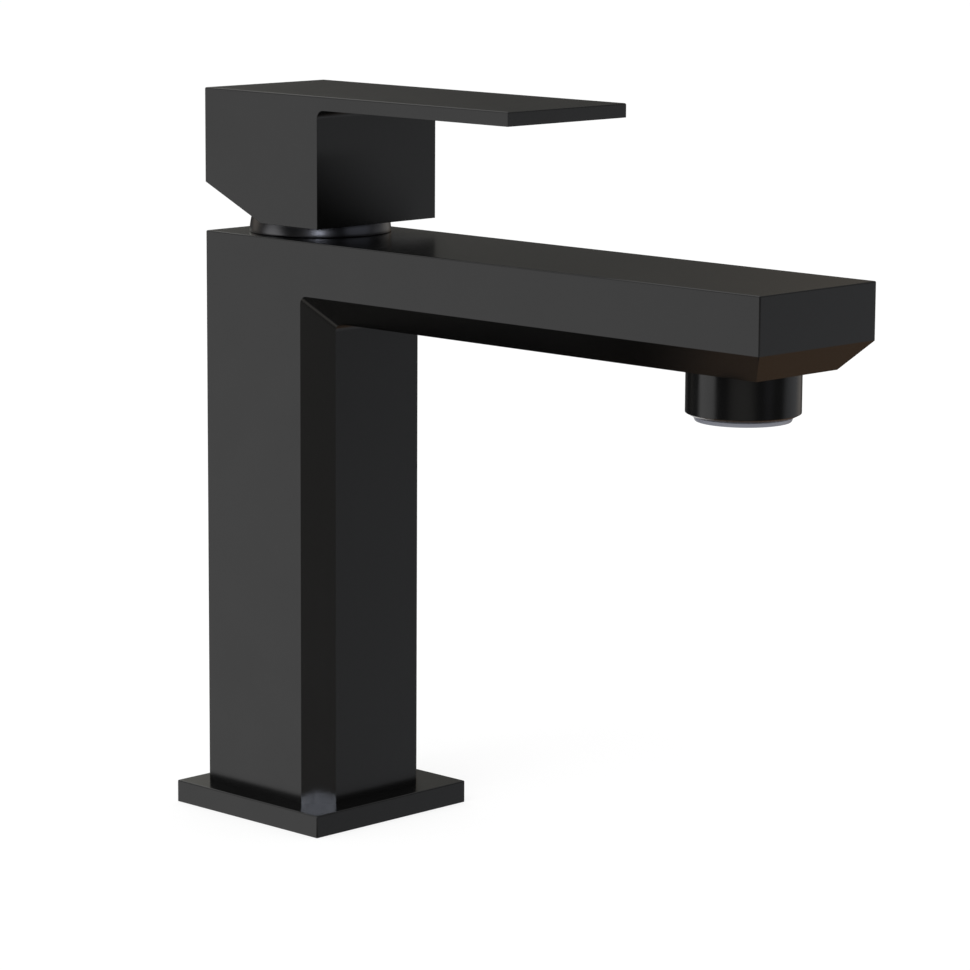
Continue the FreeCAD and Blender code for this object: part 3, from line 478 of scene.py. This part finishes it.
world = bpy.data.worlds.new("studio")
tree = empty_nodes(world)
ray = add_node(tree, "ShaderNodeLightPath")
look = add_node(tree, "ShaderNodeTexCoord").outputs["Generated"]
mirrored = (DIM_WALL, DIM_WALL, DIM_WALL)
for azimuth_deg, elevation_deg, even_deg, rim_deg, strength, tint in FIELDS.values():
    nearness = add_node(tree, "ShaderNodeVectorMath", {
        0: look, 1: direction(azimuth_deg, elevation_deg)}, operation="DOT_PRODUCT")
    share = add_node(tree, "ShaderNodeMapRange", {
        "Value": nearness.outputs["Value"],
        "From Min": math.cos(math.radians(rim_deg)), "From Max": math.cos(math.radians(even_deg)),
        "To Min": 0.0, "To Max": strength}, interpolation_type="SMOOTHSTEP")
    field = add_node(tree, "ShaderNodeVectorMath", {
        0: linear(tint)[:3], "Scale": share.outputs["Result"]}, operation="SCALE")
    mirrored = add_node(tree, "ShaderNodeVectorMath", {
        0: mirrored, 1: field.outputs["Vector"]}, operation="ADD").outputs["Vector"]
even = add_node(tree, "ShaderNodeMix", {
    "Factor": ray.outputs["Is Camera Ray"],
    "A": (MATT_LIGHT, MATT_LIGHT, MATT_LIGHT, 1), "B": WHITE}, data_type="RGBA")
clear = add_node(tree, "ShaderNodeMix", {
    "Factor": ray.outputs["Is Transmission Ray"], "A": even.outputs["Result"], "B": WHITE},
    data_type="RGBA")
shown = add_node(tree, "ShaderNodeMix", {
    "Factor": ray.outputs["Is Glossy Ray"], "A": clear.outputs["Result"], "B": mirrored},
    data_type="RGBA")
sky = add_node(tree, "ShaderNodeBackground", {"Color": shown.outputs["Result"]})
add_node(tree, "ShaderNodeOutputWorld", {"Surface": sky.outputs["Background"]})
scene.world = world
print("the world has", len(tree.nodes), "nodes")

# %% [markdown]
# ## One soft lamp and four kickers
# The even light gives no direction, so a large lamp high on the left adds a soft
# shadow on the floor and shape to the pale parts. The kickers show only in mirrors.
# Two with a narrow spread stand on the camera's side, for the glint at the foot of
# the chamfer and the one in the dome. A third glows close before the dome, and the
# last lifts the front of the handle. Brighter fields of the world would do the same,
# but they would burn out the flat tops when these are seen from behind.

# %% Lamps
FULL_SPREAD_DEG = 180
# name: place, point it looks at, width, spread in degrees, watts
LAMPS = {
    "soft_lamp": ((0.2, -1.3, 1.6), (0.04, 0, 0.08), 1.2, FULL_SPREAD_DEG, 9),
    "foot_kicker": ((0.219, -0.226, 0.093), (0.02, -0.02, 0.0055), 0.1, 10, 0.0046),
    "dome_kicker": ((0.219, -0.226, 0.186), (0.0124, -0.0124, 0.1466), 0.06, 14, 0.0009),
    "dome_glow": ((0.034, 0.003, 0.152), (0.016, -0.002, 0.147), 0.024, FULL_SPREAD_DEG, 0.00042),
    "handle_kicker": ((0.86, 0.84, 0.014), (0.02, 0, 0.16), 0.6, FULL_SPREAD_DEG, 0.09),
}
KICKER_TINT = "#eaf0ff"
TINTED = ("foot_kicker", "dome_kicker", "dome_glow")


def add_lamp(name, place, target, width, spread_deg, watts):
    """A round area lamp that faces its target and that the camera doesn't see."""
    data = bpy.data.lights.new(name, "AREA")
    data.shape = "DISK"
    data.size = width
    data.spread = math.radians(spread_deg)
    data.energy = watts
    lamp = bpy.data.objects.new(name, data)
    scene.collection.objects.link(lamp)
    lamp.location = place
    lamp.rotation_mode = "QUATERNION"
    lamp.rotation_quaternion = (Vector(target) - lamp.location).to_track_quat("-Z", "Y")
    lamp.visible_camera = False
    return lamp


lamps = {name: add_lamp(name, *values) for name, values in LAMPS.items()}
lamps["soft_lamp"].visible_glossy = False
lamps["foot_kicker"].visible_diffuse = False
for name in TINTED:
    lamps[name].data.color = linear(KICKER_TINT)[:3]
print("lamps:", ", ".join(lamps))

# %% [markdown]
# ## Kickers for single pieces
# A glint that belongs in the dome would show in the column too. In a studio a card
# beside the lamp would keep it off. In Blender a lamp can be linked to the pieces
# that it lights, which is simpler and holds at every pose.

# %% Link the kickers
LIGHTS_ONLY = {"dome_kicker": "bonnet_dome", "dome_glow": "bonnet_dome", "handle_kicker": "handle"}


def link_to(lamp, pieces):
    """Shows a lamp to these pieces alone, and there only as a mirror image."""
    receivers = bpy.data.collections.new("lit_by_" + lamp.name)
    for piece in pieces:
        receivers.objects.link(nodes[piece])
    lamp.visible_diffuse = False
    lamp.light_linking.receiver_collection = receivers


for name, piece in LIGHTS_ONLY.items():
    link_to(lamps[name], [piece])
    print(name, "lights only the", piece)

# %% [markdown]
# ## Soft boxes for the other sides
# The photograph shows the faucet from one corner. Seen square on, a flat black side
# mirrors a part of the room that the photograph tells nothing about, and with
# nothing there it would be a black cut-out. A studio puts a soft box in that place.
# More fields in the world would do it too, but the round dome and aerator mirror
# every direction and would change in the photographed view. So the boxes are lamps,
# linked to the flat coated pieces alone, and only mirrors show them.

# %% Soft boxes
BOX_CENTRE = Vector((0.06, 0, 0.09))
BOX_DISTANCE = 1.2
BOX_WIDTH = 0.6
# name: azimuth, elevation, watts
SOFT_BOXES = {
    "box_left": (-90, -16, 0.7),
    "box_front": (0, -16, 0.7),
    "box_right": (90, -16, 0.7),
    "box_back": (180, -16, 0.7),
    "box_high_left": (-90, 18, 0.22),
    "box_high_back_left": (-135, 26, 0.25),
    "box_high_right": (45, 26, 0.25),
}

for name, (azimuth_deg, elevation_deg, watts) in SOFT_BOXES.items():
    place = BOX_CENTRE + BOX_DISTANCE * direction(azimuth_deg, elevation_deg)
    box = add_lamp(name, place, BOX_CENTRE, BOX_WIDTH, FULL_SPREAD_DEG, watts)
    link_to(box, coats)
print(len(SOFT_BOXES), "soft boxes stand", BOX_DISTANCE, "m away")

# %% [markdown]
# ## A flag before the block
# In the picture the front of the handle's block fades to black towards its lower
# left corner. A darker field would dim the column as well, which faces the same
# way. So a small card, a photographer's flag, hangs before the block under the
# lever. Only mirrors see it, and the camera looks through it.

# %% Card of the flag
FLAG_X_MM = 38
FLAG_CORNERS_MM = ((-16, 143), (-16, 164), (30, 164), (30, 143))

card = bpy.data.meshes.new("graduated_flag")
card.from_pydata([(FLAG_X_MM * MM, y * MM, z * MM) for y, z in FLAG_CORNERS_MM], [], [(0, 1, 2, 3)])
flag = bpy.data.objects.new("graduated_flag", card)
scene.collection.objects.link(flag)
for ray_kind in ("camera", "diffuse", "transmission", "shadow"):
    setattr(flag, "visible_" + ray_kind, False)
print("the flag faces", [round(axis) for axis in card.polygons[0].normal])

# %% [markdown]
# ## Film of the flag
# The shade on the block is soft and slanted. A plain black card would give it a hard
# rim, so the card is a clear sheet with a black film, which fades to clear along the
# slope of the shade. It works from one side only, so that the spout doesn't mirror it.

# %% Graduated film
# the way in which the film clears, the middle of the fade and half its length
FADE_WAY = Vector((0, 0.565, 0.825))
FADE_MIDDLE_MM = Vector((0, 7.3, 156.2))
FADE_HALF_MM = 14
FILM_BLACK = "#000000"

film = bpy.data.materials.new("graduated_black_film")
tree = empty_nodes(film)
place = add_node(tree, "ShaderNodeTexCoord").outputs["Object"]
slope = add_node(tree, "ShaderNodeVectorMath", {0: place, 1: FADE_WAY}, operation="DOT_PRODUCT")
middle_mm = FADE_WAY.dot(FADE_MIDDLE_MM)
fade = add_node(tree, "ShaderNodeMapRange", {
    "Value": slope.outputs["Value"],
    "From Min": (middle_mm - FADE_HALF_MM) * MM, "From Max": (middle_mm + FADE_HALF_MM) * MM},
    interpolation_type="SMOOTHSTEP")
clear_side = add_node(tree, "ShaderNodeNewGeometry").outputs["Backfacing"]
clearness = add_node(tree, "ShaderNodeMath", {
    0: fade.outputs["Result"], 1: clear_side}, operation="MAXIMUM")
black = add_node(tree, "ShaderNodeBsdfDiffuse", {"Color": linear(FILM_BLACK)})
clear = add_node(tree, "ShaderNodeBsdfTransparent")
both = add_node(tree, "ShaderNodeMixShader", {
    "Fac": clearness.outputs["Value"], 1: black.outputs["BSDF"], 2: clear.outputs["BSDF"]})
add_node(tree, "ShaderNodeOutputMaterial", {"Surface": both.outputs["Shader"]})
card.materials.append(film)
print("the film fades over", 2 * FADE_HALF_MM, "mm")

# %% [markdown]
# ## Finish
# The view transform stays at Standard so that a colour is shown as it was written.

# %% Finish
scene.view_settings.view_transform = "Standard"
